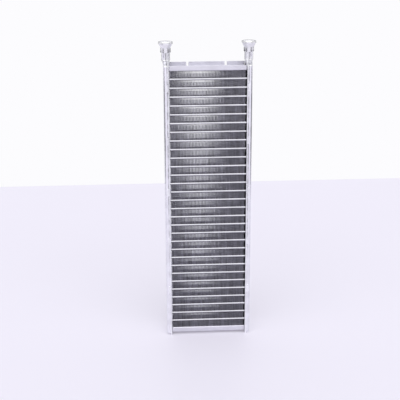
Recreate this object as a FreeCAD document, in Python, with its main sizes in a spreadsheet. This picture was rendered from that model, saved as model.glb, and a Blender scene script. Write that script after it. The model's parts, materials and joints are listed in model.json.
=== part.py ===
"""Brazed heater core: flat tubes and folded fins between two fishtail tanks with pipe sockets.

Millimetres. +Z is up, the front faces -Y and the origin is at the middle of the base.
"""

import FreeCAD, Part
import os

import Sketcher

# Driving dimensions: alias, value, what it is
DRIVING_DIMENSIONS = [
    ("tube_count", "30", "flat tubes, one above another"),
    ("tube_pitch", "10", "from one tube to the next"),
    ("tube_thick", "2.2", "flat tube, top face to bottom face"),
    ("tube_depth", "27", "flat tube, front nose to rear nose"),
    ("tube_wall", "0.35", "wall of the flat tube"),
    ("tube_nose", "0.7", "how far the bevelled nose runs back"),
    ("tube_stand_in", "1.2", "tube end inside the tank, past the header plate"),
    ("core_width", "86", "between the two header plates"),
    ("braze_gap", "0.05", "gap that the braze metal fills"),
    ("fold_count", "22", "full folds in one fin strip"),
    ("fin_wall", "0.2", "fin strip thickness"),
    ("fin_setback", "0.4", "fin edge behind the tube's nose"),
    ("fin_end_gap", "1.3", "last fold to the header plate"),
    ("plate_wall", "1", "side plate thickness"),
    ("plate_flange", "5.8", "side plate flange height, web included"),
    ("plate_bend", "1.3", "outer radius of the side plate's bends"),
    ("plate_end_gap", "1.5", "end of a side plate flange to the header plate"),
    ("tongue_width", "14", "side plate tongue in the header plate"),
    ("tongue_stand_in", "0.6", "side plate tongue inside the tank"),
    ("relief_width", "2.6", "expansion notch in the rear flange"),
    ("relief_spread", "43", "between the two expansion notches"),
    ("foot_drop", "3.2", "tank ends below the lower side plate"),
    ("tank_margin", "2", "header plate's lip in front of the tube's nose"),
    ("tank_width", "6.1", "header plate face to the cover's back"),
    ("header_web", "1.1", "header plate thickness at the tube slots"),
    ("header_rim", "1.9", "header plate face to the edge of its lip"),
    ("header_bend", "1", "outer radius of the header plate's bends"),
    ("lip_wall", "0.7", "thickness of the header plate's lip"),
    ("cover_wall", "0.9", "wall of the tank cover"),
    ("cover_corner", "2", "outer radius along the tank cover"),
    ("foot_radius", "1.6", "outer radius round the cover's bottom end"),
    ("tab_rows", "6", "tubes from one clinch tab to the next"),
    ("tab_count", "5", "clinch tabs along each lip"),
    ("tab_first", "5", "tube that carries the lowest clinch tab"),
    ("tab_height", "8.4", "clinch tab along the tank"),
    ("tab_reach", "1.7", "clinch tab past the edge of the lip"),
    ("notch_width", "1", "relief notch at each end of a clinch tab"),
    ("shoulder_start", "5", "fin stack top to the start of the shoulder"),
    ("shoulder_height", "6.2", "height in which the tank narrows to the neck"),
    ("neck_diameter", "9.8", "outside of the round neck"),
    ("neck_wall", "1", "wall of the round neck"),
    ("neck_height", "10.2", "straight neck above the shoulder"),
    ("socket_lap", "2.4", "neck inside the pipe socket"),
    ("socket_wall", "0.6", "wall of the pipe socket's collar, flare and lip"),
    ("pipe_bore", "10.4", "bore of the pipe socket above the neck"),
    ("collar_height", "5.1", "straight collar of the pipe socket"),
    ("flare_height", "4.8", "cone from the collar to the rim"),
    ("rim_diameter", "16.4", "outside of the flared rim"),
    ("rim_lip", "1.5", "upright lip round the rim"),
]

# Heights that several pieces share, as expressions in the driving dimensions
FIN_GAP = "(sheet.tube_pitch - sheet.tube_thick)"
STACK_BASE = "(sheet.foot_drop + sheet.plate_flange)"
STACK_TOP = f"({STACK_BASE} + sheet.tube_count * sheet.tube_pitch + {FIN_GAP})"
SHOULDER_BASE = f"({STACK_TOP} + sheet.shoulder_start)"
NECK_BASE = f"({SHOULDER_BASE} + sheet.shoulder_height)"
NECK_TOP = f"({NECK_BASE} + sheet.neck_height)"
SOCKET_BASE = f"({NECK_TOP} - sheet.socket_lap)"

# Half widths that mating pieces share
HALF_CORE = "(sheet.core_width / 2)"
NECK_CENTRE = "(sheet.tank_width / 2)"
NECK_RADIUS = "(sheet.neck_diameter / 2)"
LIP_OUTSIDE = "(sheet.tube_depth / 2 + sheet.tank_margin)"
LIP_INSIDE = f"({LIP_OUTSIDE} - sheet.lip_wall)"
COVER_OUTSIDE = f"({LIP_INSIDE} - sheet.braze_gap)"
COVER_INSIDE = f"({COVER_OUTSIDE} - sheet.cover_wall)"
COVER_EDGE = "(sheet.header_web + sheet.braze_gap)"
CAVITY_BACK = "(sheet.tank_width - sheet.cover_wall)"
PLATE_LENGTH = "(sheet.core_width - 2 * sheet.plate_end_gap)"
FOLD_WIDTH = "((sheet.core_width - 2 * sheet.fin_end_gap) / sheet.fold_count)"
FOLD_HEIGHT = f"({FIN_GAP} - 2 * sheet.braze_gap)"

# How far a cutting outline runs past what it cuts
OVERRUN = "1"

# Arcs of the round neck that the tank's flat sides, corners and narrow sides run into, in degrees
FLAT_SIDE = 40
CORNER = 50

doc = FreeCAD.newDocument("heater_core")
sheet = doc.addObject("Spreadsheet::Sheet", "sheet")
for row, (alias, number, meaning) in enumerate(DRIVING_DIMENSIONS, start=1):
    sheet.set(f"A{row}", meaning)
    sheet.set(f"B{row}", number)
    sheet.setAlias(f"B{row}", alias)
doc.recompute()

nodes = []


def value(expression):
    """The number that an expression in the driving dimensions comes to."""
    return float(sheet.evalExpression(expression.replace("sheet.", "")))


def new_body(label):
    """An empty body that becomes one piece of the heater core."""
    body = doc.addObject("PartDesign::Body", label)
    body.Label = label
    nodes.append(body)
    return body


def place(piece, **axes):
    """Bind a piece's place: x, y and z are expressions."""
    for axis, expression in axes.items():
        piece.setExpression(f"Placement.Base.{axis}", expression)


def new_sketch(body, name, role, height="0"):
    """A sketch on one of the body's own planes, lifted off it by an expression."""
    sketch = body.newObject("Sketcher::SketchObject", name)
    plane = next(item for item in body.Origin.OriginFeatures if item.Role == role)
    sketch.AttachmentSupport = [(plane, "")]
    sketch.MapMode = "FlatFace"
    if height != "0":
        sketch.setExpression("AttachmentOffset.Base.z", height)
    return sketch


def fix(sketch, kind, item, point, expression):
    """Hold one coordinate of a point at an expression."""
    place_now = value(expression)
    number = sketch.addConstraint(Sketcher.Constraint(kind, -1, 1, item, point, place_now))
    sketch.setExpression(f"Constraints[{number}]", expression)


def arc_edge(start, end, centre):
    """The anticlockwise arc from one point to another about a centre."""
    across = FreeCAD.Vector(1, 0, 0)
    turns = []
    for spot in (start, end):
        turn = across.getAngle(spot - centre)
        turns.append(-turn if spot.y < centre.y else turn)
    circle = Part.Circle(centre, FreeCAD.Vector(0, 0, 1), (start - centre).Length)
    return Part.ArcOfCircle(circle, turns[0], turns[1])


def draw(sketch, outline):
    """Draw a closed outline and hold every corner of it at its expressions.

    Each entry is a corner (across, up), or (across, up, centre across, centre up) where the
    edge that leaves the corner is an anticlockwise arc about that centre. The far end of an
    arc is held in one direction only, because its radius gives the other.
    """
    spots = [FreeCAD.Vector(value(entry[0]), value(entry[1]), 0) for entry in outline]
    first, count = sketch.GeometryCount, len(outline)
    all_arcs = all(len(entry) == 4 for entry in outline)
    for index, entry in enumerate(outline):
        start, end = spots[index], spots[(index + 1) % count]
        if len(entry) == 2:
            edge = Part.LineSegment(start, end)
        else:
            edge = arc_edge(start, end, FreeCAD.Vector(value(entry[2]), value(entry[3]), 0))
        sketch.addGeometry(edge, False)
    for index, entry in enumerate(outline):
        edge, before = first + index, first + (index - 1) % count
        sketch.addConstraint(Sketcher.Constraint("Coincident", before, 2, edge, 1))
        closes_circle = all_arcs and index == count - 1
        if len(entry) == 4:
            fix(sketch, "DistanceX", edge, 3, entry[2])
        if len(entry) == 4 and not closes_circle:
            fix(sketch, "DistanceY", edge, 3, entry[3])
        arrives_on = outline[index - 1]
        held_across = held_up = True
        if len(arrives_on) == 4 and not (all_arcs and index == 0):
            centre = FreeCAD.Vector(value(arrives_on[2]), value(arrives_on[3]), 0)
            reach = spots[index] - centre
            held_across = abs(reach.y) > abs(reach.x)
            held_up = not held_across
        if held_across:
            fix(sketch, "DistanceX", edge, 1, entry[0])
        if held_up:
            fix(sketch, "DistanceY", edge, 1, entry[1])


def box_outline(left, right, low, high):
    """The four corners of an upright rectangle."""
    return [(left, low), (right, low), (right, high), (left, high)]


def mirrored_boxes(sketch, near, far, low, high):
    """Two rectangles, one each side of the upright axis."""
    draw(sketch, box_outline(near, far, low, high))
    draw(sketch, box_outline(f"-{far}", f"-{near}", low, high))


def draw_circle(sketch, centre, radius):
    """A circle on the across axis."""
    middle = FreeCAD.Vector(value(centre), 0, 0)
    item = sketch.addGeometry(Part.Circle(middle, FreeCAD.Vector(0, 0, 1), value(radius)), False)
    fix(sketch, "DistanceX", item, 3, centre)
    sketch.addConstraint(Sketcher.Constraint("PointOnObject", item, 3, -1))
    number = sketch.addConstraint(Sketcher.Constraint("Radius", item, value(radius)))
    sketch.setExpression(f"Constraints[{number}]", radius)


def extrude(body, kind, name, sketch, length, midplane=False, backwards=False):
    """Pad or pocket a sketch by a length."""
    feature = body.newObject(f"PartDesign::{kind}", name)
    feature.Profile = sketch
    feature.setExpression("Length", length)
    feature.Midplane = midplane
    feature.Reversed = backwards
    doc.recompute()
    return feature


def loft(body, kind, name, lower, upper):
    """Loft from a lower sketch to an upper one."""
    feature = body.newObject(f"PartDesign::{kind}", name)
    feature.Profile = lower
    feature.Sections = [upper]
    feature.Ruled = True
    doc.recompute()
    return feature


def repeat(body, name, features, sketch, count, step):
    """Repeat features up the sketch's upright axis."""
    pattern = body.newObject("PartDesign::LinearPattern", name)
    pattern.Originals = features
    pattern.Direction = (sketch, ["V_Axis"])
    pattern.setExpression("Length", f"({count} - 1) * {step}")
    pattern.setExpression("Occurrences", count)
    body.Tip = pattern
    doc.recompute()
    return pattern


def round_edges(body, name, radius, wanted):
    """Round the edges whose middle point passes a test."""
    base = body.Tip
    chosen = []
    for number, edge in enumerate(base.Shape.Edges, start=1):
        middle = edge.valueAt((edge.FirstParameter + edge.LastParameter) / 2)
        if wanted(edge, middle):
            chosen.append(f"Edge{number}")
    fillet = body.newObject("PartDesign::Fillet", name)
    fillet.Base = (base, chosen)
    fillet.setExpression("Radius", radius)
    doc.recompute()
    return fillet


def copy_of(original, label):
    """A body that holds the same piece again, for a place of its own."""
    body = new_body(label)
    again = doc.addObject("PartDesign::FeatureBase", f"{label}_copy")
    body.Group = [again]
    again.BaseFeature = original
    body.Tip = again
    return body


def mirror_of(original, label):
    """The left-hand twin of a right-hand piece."""
    twin = doc.addObject("Part::Mirroring", label)
    twin.Label = label
    twin.Source = original
    twin.Normal = FreeCAD.Vector(1, 0, 0)
    nodes.append(twin)
    return twin


# Fins


def make_fin(label):
    """A fin strip: one V fold, repeated across the core.

    A leg leans over half a fold in its whole height, so upright through a crest the metal
    measures the wall times the leg's length over half a fold.
    """
    body = new_body(label)
    half_fold = f"({FOLD_WIDTH} / 2)"
    crest = f"(sheet.fin_wall * sqrt({half_fold}^2 + {FOLD_HEIGHT}^2) / {half_fold})"
    start = f"(-{FOLD_WIDTH} * sheet.fold_count / 2)"
    middle, end = f"({start} + {half_fold})", f"({start} + {FOLD_WIDTH})"
    top, bottom = f"({FOLD_HEIGHT} / 2)", f"(-{FOLD_HEIGHT} / 2)"
    fold_sketch = new_sketch(body, f"{label}_fold", "XZ_Plane")
    draw(fold_sketch, [
        (start, f"({top} - {crest})"),
        (middle, bottom),
        (end, f"({top} - {crest})"),
        (end, top),
        (middle, f"({bottom} + {crest})"),
        (start, top),
    ])
    depth = "sheet.tube_depth - 2 * sheet.fin_setback"
    fold = extrude(body, "Pad", f"{label}_leg_pair", fold_sketch, depth, midplane=True)
    strip = body.newObject("PartDesign::LinearPattern", f"{label}_folds")
    strip.Originals = [fold]
    strip.Direction = (fold_sketch, ["H_Axis"])
    strip.setExpression("Length", f"(sheet.fold_count - 1) * {FOLD_WIDTH}")
    strip.setExpression("Occurrences", "sheet.fold_count")
    body.Tip = strip
    doc.recompute()
    return body


# Tubes


def tube_outline(half_depth, half_thick, nose):
    """A flat tube's section: two flats and a bevelled nose at each end."""
    shoulder = f"({half_depth} - {nose})"
    tip = f"({half_thick} / 3)"
    return [
        (f"-{half_depth}", f"-{tip}"),
        (f"-{shoulder}", f"-{half_thick}"),
        (shoulder, f"-{half_thick}"),
        (half_depth, f"-{tip}"),
        (half_depth, tip),
        (shoulder, half_thick),
        (f"-{shoulder}", half_thick),
        (f"-{half_depth}", tip),
    ]


def make_tube_pair(label):
    """Two flat tubes, one pitch apart, each open at both ends."""
    body = new_body(label)
    body.AllowCompound = True
    section = new_sketch(body, f"{label}_section", "YZ_Plane")
    half_depth, half_thick = "(sheet.tube_depth / 2)", "(sheet.tube_thick / 2)"
    draw(section, tube_outline(half_depth, half_thick, "sheet.tube_nose"))
    bore_depth = f"({half_depth} - sheet.tube_nose - sheet.tube_wall)"
    bore_height = f"({half_thick} - sheet.tube_wall)"
    draw(section, box_outline(f"-{bore_depth}", bore_depth, f"-{bore_height}", bore_height))
    length = "sheet.core_width + 2 * (sheet.header_web + sheet.tube_stand_in)"
    tube = extrude(body, "Pad", f"{label}_tube", section, length, midplane=True)
    repeat(body, f"{label}_twice", [tube], section, "2", "sheet.tube_pitch")
    return body


# Side plates


def make_side_plate(label):
    """A channel that backs the outermost fin, open away from it, with a tongue at each end.

    The body's own origin is on the web's face against the fin.
    """
    body = new_body(label)
    half_depth = "(sheet.tube_depth / 2)"
    inside = f"({half_depth} - sheet.plate_wall)"
    channel = new_sketch(body, f"{label}_channel", "YZ_Plane")
    draw(channel, [
        (f"-{half_depth}", "0"),
        (half_depth, "0"),
        (half_depth, "sheet.plate_flange"),
        (inside, "sheet.plate_flange"),
        (inside, "sheet.plate_wall"),
        (f"-{inside}", "sheet.plate_wall"),
        (f"-{inside}", "sheet.plate_flange"),
        (f"-{half_depth}", "sheet.plate_flange"),
    ])
    extrude(body, "Pad", f"{label}_length", channel, PLATE_LENGTH, midplane=True)
    outer_bend = "sheet.plate_bend"
    round_edges(body, f"{label}_outer_bends", outer_bend, lambda edge, at: (
        edge.Length > value(PLATE_LENGTH) - 1
        and abs(at.z) < 0.01
        and abs(abs(at.y) - value(half_depth)) < 0.01
    ))
    web_ends = new_sketch(body, f"{label}_web", "XY_Plane")
    flat_depth = f"({half_depth} - sheet.plate_bend)"
    half_web = f"({HALF_CORE} - sheet.braze_gap)"
    draw(web_ends, box_outline(f"-{half_web}", half_web, f"-{flat_depth}", flat_depth))
    extrude(body, "Pad", f"{label}_web_ends", web_ends, "sheet.plate_wall")
    tongues = new_sketch(body, f"{label}_tongues", "XY_Plane")
    half_tongue = "(sheet.tongue_width / 2)"
    tongue_end = f"({HALF_CORE} + sheet.header_web + sheet.tongue_stand_in)"
    draw(tongues, box_outline(f"-{tongue_end}", tongue_end, f"-{half_tongue}", half_tongue))
    extrude(body, "Pad", f"{label}_tongue", tongues, "sheet.plate_wall")
    notches = new_sketch(body, f"{label}_notches", "XZ_Plane")
    near = "((sheet.relief_spread - sheet.relief_width) / 2)"
    far = "((sheet.relief_spread + sheet.relief_width) / 2)"
    mirrored_boxes(notches, near, far, "sheet.plate_bend", f"(sheet.plate_flange + {OVERRUN})")
    whole = body.Shape.Volume
    extrude(body, "Pocket", f"{label}_relief", notches, half_depth)
    assert body.Shape.Volume < whole, "the expansion notches cut nothing"
    return body


# Tanks: each is modelled on the right, with its own x axis pointing away from the core


def neck_outline(radius, angles):
    """A full circle about the neck's axis, split into arcs at the given angles."""
    return [
        (
            f"({NECK_CENTRE} + {radius} * cos({angle}))",
            f"({radius} * sin({angle}))",
            NECK_CENTRE,
            "0",
        )
        for angle in angles
    ]


def back_rounded(face, back, half_depth, radius):
    """A section with its two corners away from the core rounded."""
    flat, bend = f"({half_depth} - {radius})", f"({back} - {radius})"
    return [
        (face, f"-{half_depth}"),
        (bend, f"-{half_depth}", bend, f"-{flat}"),
        (back, f"-{flat}"),
        (back, flat, bend, flat),
        (bend, half_depth),
        (face, half_depth),
    ]


def front_rounded(face, back, half_depth, radius):
    """A section with its two corners at the core rounded."""
    flat, bend = f"({half_depth} - {radius})", f"({face} + {radius})"
    return [
        (back, half_depth),
        (bend, half_depth, bend, flat),
        (face, flat),
        (face, f"-{flat}", bend, f"-{flat}"),
        (bend, f"-{half_depth}"),
        (back, f"-{half_depth}"),
    ]


BACK_ANGLES = [-180 + FLAT_SIDE, -CORNER, -FLAT_SIDE, FLAT_SIDE, CORNER, 180 - FLAT_SIDE]
FRONT_ANGLES = [FLAT_SIDE, 180 - CORNER, 180 - FLAT_SIDE, 180 + FLAT_SIDE, 180 + CORNER, -FLAT_SIDE]


def add_fishtail(body, label, outside, inside, angles):
    """The shoulder from the flat tank to the round neck, and the neck, hollow throughout."""
    lower = new_sketch(body, f"{label}_shoulder_low", "XY_Plane", SHOULDER_BASE)
    draw(lower, outside)
    upper = new_sketch(body, f"{label}_shoulder_high", "XY_Plane", NECK_BASE)
    draw(upper, neck_outline(NECK_RADIUS, angles))
    loft(body, "AdditiveLoft", f"{label}_shoulder", lower, upper)
    ring = new_sketch(body, f"{label}_neck_ring", "XY_Plane", NECK_BASE)
    draw_circle(ring, NECK_CENTRE, NECK_RADIUS)
    extrude(body, "Pad", f"{label}_neck", ring, "sheet.neck_height")
    bore_radius = f"({NECK_RADIUS} - sheet.neck_wall)"
    hollow_low = new_sketch(body, f"{label}_hollow_low", "XY_Plane", SHOULDER_BASE)
    draw(hollow_low, inside)
    hollow_high = new_sketch(body, f"{label}_hollow_high", "XY_Plane", NECK_BASE)
    draw(hollow_high, neck_outline(bore_radius, angles))
    loft(body, "SubtractiveLoft", f"{label}_hollow", hollow_low, hollow_high)
    bore = new_sketch(body, f"{label}_bore_ring", "XY_Plane", NECK_BASE)
    draw_circle(bore, NECK_CENTRE, bore_radius)
    extrude(body, "Pocket", f"{label}_bore", bore, "sheet.neck_height", backwards=True)


def cut_at_seam(body, label, keep_core_side):
    """Keep one side of the seam, which climbs from the header plate's lip to the neck's axis."""
    far = f"({NECK_CENTRE} + sheet.neck_diameter)"
    if keep_core_side:
        far_across = far
    else:
        far_across = f"({NECK_CENTRE} - sheet.neck_diameter)"
    sketch = new_sketch(body, f"{label}_seam", "XZ_Plane")
    above = f"({NECK_TOP} + {OVERRUN})"
    draw(sketch, [
        ("sheet.header_rim", SHOULDER_BASE),
        (NECK_CENTRE, NECK_BASE),
        (NECK_CENTRE, above),
        (far_across, above),
        (far_across, SHOULDER_BASE),
    ])
    whole = body.Shape.Volume
    whole_depth = f"2 * ({LIP_OUTSIDE} + {OVERRUN})"
    extrude(body, "Pocket", f"{label}_seam_cut", sketch, whole_depth, midplane=True)
    assert body.Shape.Volume < whole, "the seam cuts nothing"


def make_header_plate(label):
    """The tank's inner shell: a shallow tray with a slot for every tube, and half the neck."""
    body = new_body(label)
    tray = new_sketch(body, f"{label}_tray", "XY_Plane")
    flat, bend = f"({LIP_OUTSIDE} - sheet.header_bend)", "sheet.header_bend"
    draw(tray, [
        ("sheet.header_rim", LIP_OUTSIDE),
        (bend, LIP_OUTSIDE, bend, flat),
        ("0", flat),
        ("0", f"-{flat}", bend, f"-{flat}"),
        (bend, f"-{LIP_OUTSIDE}"),
        ("sheet.header_rim", f"-{LIP_OUTSIDE}"),
        ("sheet.header_rim", f"-{LIP_INSIDE}"),
        ("sheet.header_web", f"-{LIP_INSIDE}"),
        ("sheet.header_web", LIP_INSIDE),
        ("sheet.header_rim", LIP_INSIDE),
    ])
    extrude(body, "Pad", f"{label}_channel", tray, SHOULDER_BASE)
    end = new_sketch(body, f"{label}_end", "XY_Plane")
    draw(end, box_outline("sheet.header_web", "sheet.header_rim", f"-{LIP_INSIDE}", LIP_INSIDE))
    extrude(body, "Pad", f"{label}_end_lip", end, "sheet.lip_wall")
    add_fishtail(
        body,
        label,
        front_rounded("0", "sheet.tank_width", LIP_OUTSIDE, "sheet.header_bend"),
        front_rounded("sheet.header_web", CAVITY_BACK, COVER_INSIDE, "sheet.header_bend"),
        FRONT_ANGLES,
    )
    cut_at_seam(body, label, keep_core_side=True)

    slot = new_sketch(body, f"{label}_slot", "YZ_Plane")
    first_tube = f"({STACK_BASE} + {FIN_GAP} + sheet.tube_thick / 2)"
    half_depth = "(sheet.tube_depth / 2 + sheet.braze_gap)"
    half_thick = "(sheet.tube_thick / 2 + sheet.braze_gap)"
    raised = [
        (across, f"({first_tube} + {up})")
        for across, up in tube_outline(half_depth, half_thick, "sheet.tube_nose")
    ]
    draw(slot, raised)
    whole = body.Shape.Volume
    pocket = extrude(body, "Pocket", f"{label}_tube_slot", slot, "sheet.header_web", backwards=True)
    assert body.Shape.Volume < whole, "the tube slot cuts nothing"
    repeat(body, f"{label}_tube_slots", [pocket], slot, "sheet.tube_count", "sheet.tube_pitch")

    tongue_slots = new_sketch(body, f"{label}_tongue_slot", "YZ_Plane")
    half_tongue = "(sheet.tongue_width / 2 + sheet.braze_gap)"
    low_web = f"({STACK_BASE} - sheet.plate_wall - sheet.braze_gap)"
    draw(tongue_slots, box_outline(
        f"-{half_tongue}", half_tongue, low_web, f"({STACK_BASE} + sheet.braze_gap)"
    ))
    high_web = f"({STACK_TOP} + sheet.plate_wall + sheet.braze_gap)"
    draw(tongue_slots, box_outline(
        f"-{half_tongue}", half_tongue, f"({STACK_TOP} - sheet.braze_gap)", high_web
    ))
    name = f"{label}_tongue_slots"
    extrude(body, "Pocket", name, tongue_slots, "sheet.header_web", backwards=True)

    tab_middle = f"({first_tube} + (sheet.tab_first - 1) * sheet.tube_pitch)"
    tab_low = f"({tab_middle} - sheet.tab_height / 2)"
    tab_high = f"({tab_middle} + sheet.tab_height / 2)"
    tab_sketch = new_sketch(body, f"{label}_tab", "YZ_Plane", "sheet.header_web")
    mirrored_boxes(tab_sketch, LIP_INSIDE, LIP_OUTSIDE, tab_low, tab_high)
    lip_height = "(sheet.header_rim - sheet.header_web)"
    tabs = extrude(body, "Pad", f"{label}_tabs", tab_sketch, f"{lip_height} + sheet.tab_reach")
    notch_sketch = new_sketch(body, f"{label}_notch", "YZ_Plane", "sheet.header_rim")
    beyond = f"({LIP_OUTSIDE} + {OVERRUN})"
    mirrored_boxes(notch_sketch, LIP_INSIDE, beyond, f"({tab_low} - sheet.notch_width)", tab_low)
    mirrored_boxes(notch_sketch, LIP_INSIDE, beyond, tab_high, f"({tab_high} + sheet.notch_width)")
    whole = body.Shape.Volume
    notches = extrude(body, "Pocket", f"{label}_notches", notch_sketch, lip_height)
    assert body.Shape.Volume < whole, "the relief notches cut nothing"
    step = "sheet.tab_rows * sheet.tube_pitch"
    repeat(body, f"{label}_clinches", [tabs, notches], tab_sketch, "sheet.tab_count", step)
    return body


def make_tank_cover(label):
    """The tank's outer shell: a long pan inside the header plate's lips, and half the neck."""
    body = new_body(label)
    flat, bend = f"({COVER_OUTSIDE} - sheet.cover_corner)", "(sheet.tank_width - sheet.cover_corner)"
    inner_corner = "(sheet.cover_corner - sheet.cover_wall)"
    bottom = "(sheet.lip_wall + sheet.braze_gap)"
    pan = new_sketch(body, f"{label}_pan", "XY_Plane", bottom)
    draw(pan, [
        (COVER_EDGE, f"-{COVER_OUTSIDE}"),
        (bend, f"-{COVER_OUTSIDE}", bend, f"-{flat}"),
        ("sheet.tank_width", f"-{flat}"),
        ("sheet.tank_width", flat, bend, flat),
        (bend, COVER_OUTSIDE),
        (COVER_EDGE, COVER_OUTSIDE),
    ])
    pan_height = f"({SHOULDER_BASE} - {bottom})"
    extrude(body, "Pad", f"{label}_block", pan, pan_height)
    round_edges(body, f"{label}_foot", "sheet.foot_radius", lambda edge, at: (
        abs(at.z - value(bottom)) < 0.01 and at.x > value(COVER_EDGE) + 0.1
    ))
    add_fishtail(
        body,
        label,
        back_rounded("0", "sheet.tank_width", COVER_OUTSIDE, "sheet.cover_corner"),
        back_rounded("sheet.header_web", CAVITY_BACK, COVER_INSIDE, inner_corner),
        BACK_ANGLES,
    )
    cut_at_seam(body, label, keep_core_side=False)
    cavity_base = f"({bottom} + sheet.cover_wall)"
    cavity = new_sketch(body, f"{label}_cavity", "XY_Plane", cavity_base)
    draw(cavity, back_rounded("0", CAVITY_BACK, COVER_INSIDE, inner_corner))
    whole = body.Shape.Volume
    depth = f"({SHOULDER_BASE} - {cavity_base})"
    extrude(body, "Pocket", f"{label}_hollow_pan", cavity, depth, backwards=True)
    assert body.Shape.Volume < whole, "the cavity cuts nothing"
    return body


# Pipe sockets


def make_pipe_socket(label):
    """A turned collar over the neck that flares to a wide mouth with an upright lip.

    The bore steps in where the neck ends, so a pipe pushed into it stops there.
    """
    body = new_body(label)
    profile = new_sketch(body, f"{label}_profile", "XZ_Plane")
    seat = f"({NECK_RADIUS} + sheet.braze_gap)"
    bore = "(sheet.pipe_bore / 2)"
    collar = f"({bore} + sheet.socket_wall)"
    rim = "(sheet.rim_diameter / 2)"
    rim_inside = f"({rim} - sheet.socket_wall)"
    rim_base = "(sheet.collar_height + sheet.flare_height)"
    rim_top = f"({rim_base} + sheet.rim_lip)"
    draw(profile, [
        (seat, "0"),
        (collar, "0"),
        (collar, "sheet.collar_height"),
        (rim, rim_base),
        (rim, rim_top),
        (rim_inside, rim_top),
        (rim_inside, f"({rim_base} + sheet.socket_wall / 2)"),
        (bore, "(sheet.collar_height + sheet.socket_wall / 2)"),
        (bore, "sheet.socket_lap"),
        (seat, "sheet.socket_lap"),
    ])
    turned = body.newObject("PartDesign::Revolution", f"{label}_turned")
    turned.Profile = profile
    turned.ReferenceAxis = (profile, ["V_Axis"])
    turned.Angle = 360
    doc.recompute()
    return body


def build_core():
    """Fins and tubes, stacked between the side plates."""
    row_middle = f"{STACK_BASE} + {FIN_GAP} / 2"
    rows = round(value("sheet.tube_count")) + 1
    fin = make_fin("fin_01")
    place(fin, z=row_middle)
    for number in range(2, rows + 1):
        again = copy_of(fin, f"fin_{number:02d}")
        place(again, z=f"{row_middle} + {number - 1} * sheet.tube_pitch")
    first_tube = f"{STACK_BASE} + {FIN_GAP} + sheet.tube_thick / 2"
    pair = make_tube_pair("tube_pair_01")
    place(pair, z=first_tube)
    for number in range(2, (rows - 1) // 2 + 1):
        again = copy_of(pair, f"tube_pair_{number:02d}")
        place(again, z=f"{first_tube} + {2 * number - 2} * sheet.tube_pitch")


def build_side_plates():
    """One channel above the stack, and the same piece turned over below it."""
    top = make_side_plate("top_side_plate")
    place(top, z=STACK_TOP)
    bottom = copy_of(top, "bottom_side_plate")
    bottom.Placement = FreeCAD.Placement(
        FreeCAD.Vector(), FreeCAD.Rotation(FreeCAD.Vector(0, 1, 0), 180)
    )
    place(bottom, z=STACK_BASE)


def build_tanks():
    """A tank with its pipe socket on the right, and its mirror image on the left."""
    header = make_header_plate("right_header_plate")
    cover = make_tank_cover("right_tank_cover")
    for shell in (header, cover):
        place(shell, x=HALF_CORE)
    socket = make_pipe_socket("right_pipe_socket")
    place(socket, x=f"{HALF_CORE} + {NECK_CENTRE}", z=SOCKET_BASE)
    doc.recompute()
    mirror_of(header, "left_header_plate")
    mirror_of(cover, "left_tank_cover")
    left_socket = copy_of(socket, "left_pipe_socket")
    place(left_socket, x=f"-({HALF_CORE} + {NECK_CENTRE})", z=SOCKET_BASE)


def check_and_write():
    """Stop on a failed object or an unsound piece, then write one file for each piece."""
    doc.recompute()
    for item in doc.Objects:
        if "Invalid" in item.State or "Error" in item.State:
            raise RuntimeError(f"{item.Label} failed: {item.State}")
    os.makedirs("parts", exist_ok=True)
    for piece in nodes:
        shape = piece.Shape
        if shape.isNull() or not shape.isValid() or not shape.Solids:
            raise RuntimeError(f"{piece.Label} isn't a sound solid")
    for piece in nodes:
        piece.Shape.exportStep(f"parts/{piece.Label}.step")
        print(piece.Label, len(piece.Shape.Solids), "solid", round(piece.Shape.Volume, 1), "mm3")


build_core()
build_side_plates()
build_tanks()
check_and_write()
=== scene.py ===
"""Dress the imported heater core: folded fins, flat tubes, side plates, tank shells and pipe sockets.

Metres throughout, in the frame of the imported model: +Z up, the front faces -Y.
"""

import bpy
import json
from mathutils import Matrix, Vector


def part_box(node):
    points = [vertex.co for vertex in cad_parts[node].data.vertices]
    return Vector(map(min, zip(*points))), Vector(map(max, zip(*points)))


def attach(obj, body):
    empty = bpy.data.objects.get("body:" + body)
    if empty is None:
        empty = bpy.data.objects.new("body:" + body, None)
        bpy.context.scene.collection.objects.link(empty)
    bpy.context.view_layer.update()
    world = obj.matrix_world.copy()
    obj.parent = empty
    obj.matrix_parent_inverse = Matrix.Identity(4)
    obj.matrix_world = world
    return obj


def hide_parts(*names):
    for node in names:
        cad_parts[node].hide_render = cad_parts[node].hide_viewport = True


bl_info = {
    "name": "Heater core",
    "version": (1, 0, 0),
    "blender": (4, 5, 0),
    "location": "View3D > Sidebar > Heater core",
    "description": "Builds the skin of a brazed heater core round its packed frame",
    "category": "Object",
}

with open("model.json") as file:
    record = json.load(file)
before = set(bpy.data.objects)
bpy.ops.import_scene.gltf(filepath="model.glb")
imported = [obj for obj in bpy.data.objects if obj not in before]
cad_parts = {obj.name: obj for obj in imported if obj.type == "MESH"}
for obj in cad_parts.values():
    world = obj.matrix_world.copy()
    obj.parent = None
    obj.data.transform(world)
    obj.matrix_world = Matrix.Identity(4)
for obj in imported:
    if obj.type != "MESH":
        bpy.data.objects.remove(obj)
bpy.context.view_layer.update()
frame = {"nodes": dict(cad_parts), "record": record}

import json
import math

import bpy
import numpy as np

MM = 0.001
FIN_NODES = sorted(name for name in frame["nodes"] if name.startswith("fin_"))
TUBE_NODES = sorted(name for name in frame["nodes"] if name.startswith("tube_pair_"))
MOUNTS = {mount["name"]: mount["pos_m"] for mount in frame["record"]["mounts"]}


# Meshes


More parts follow.
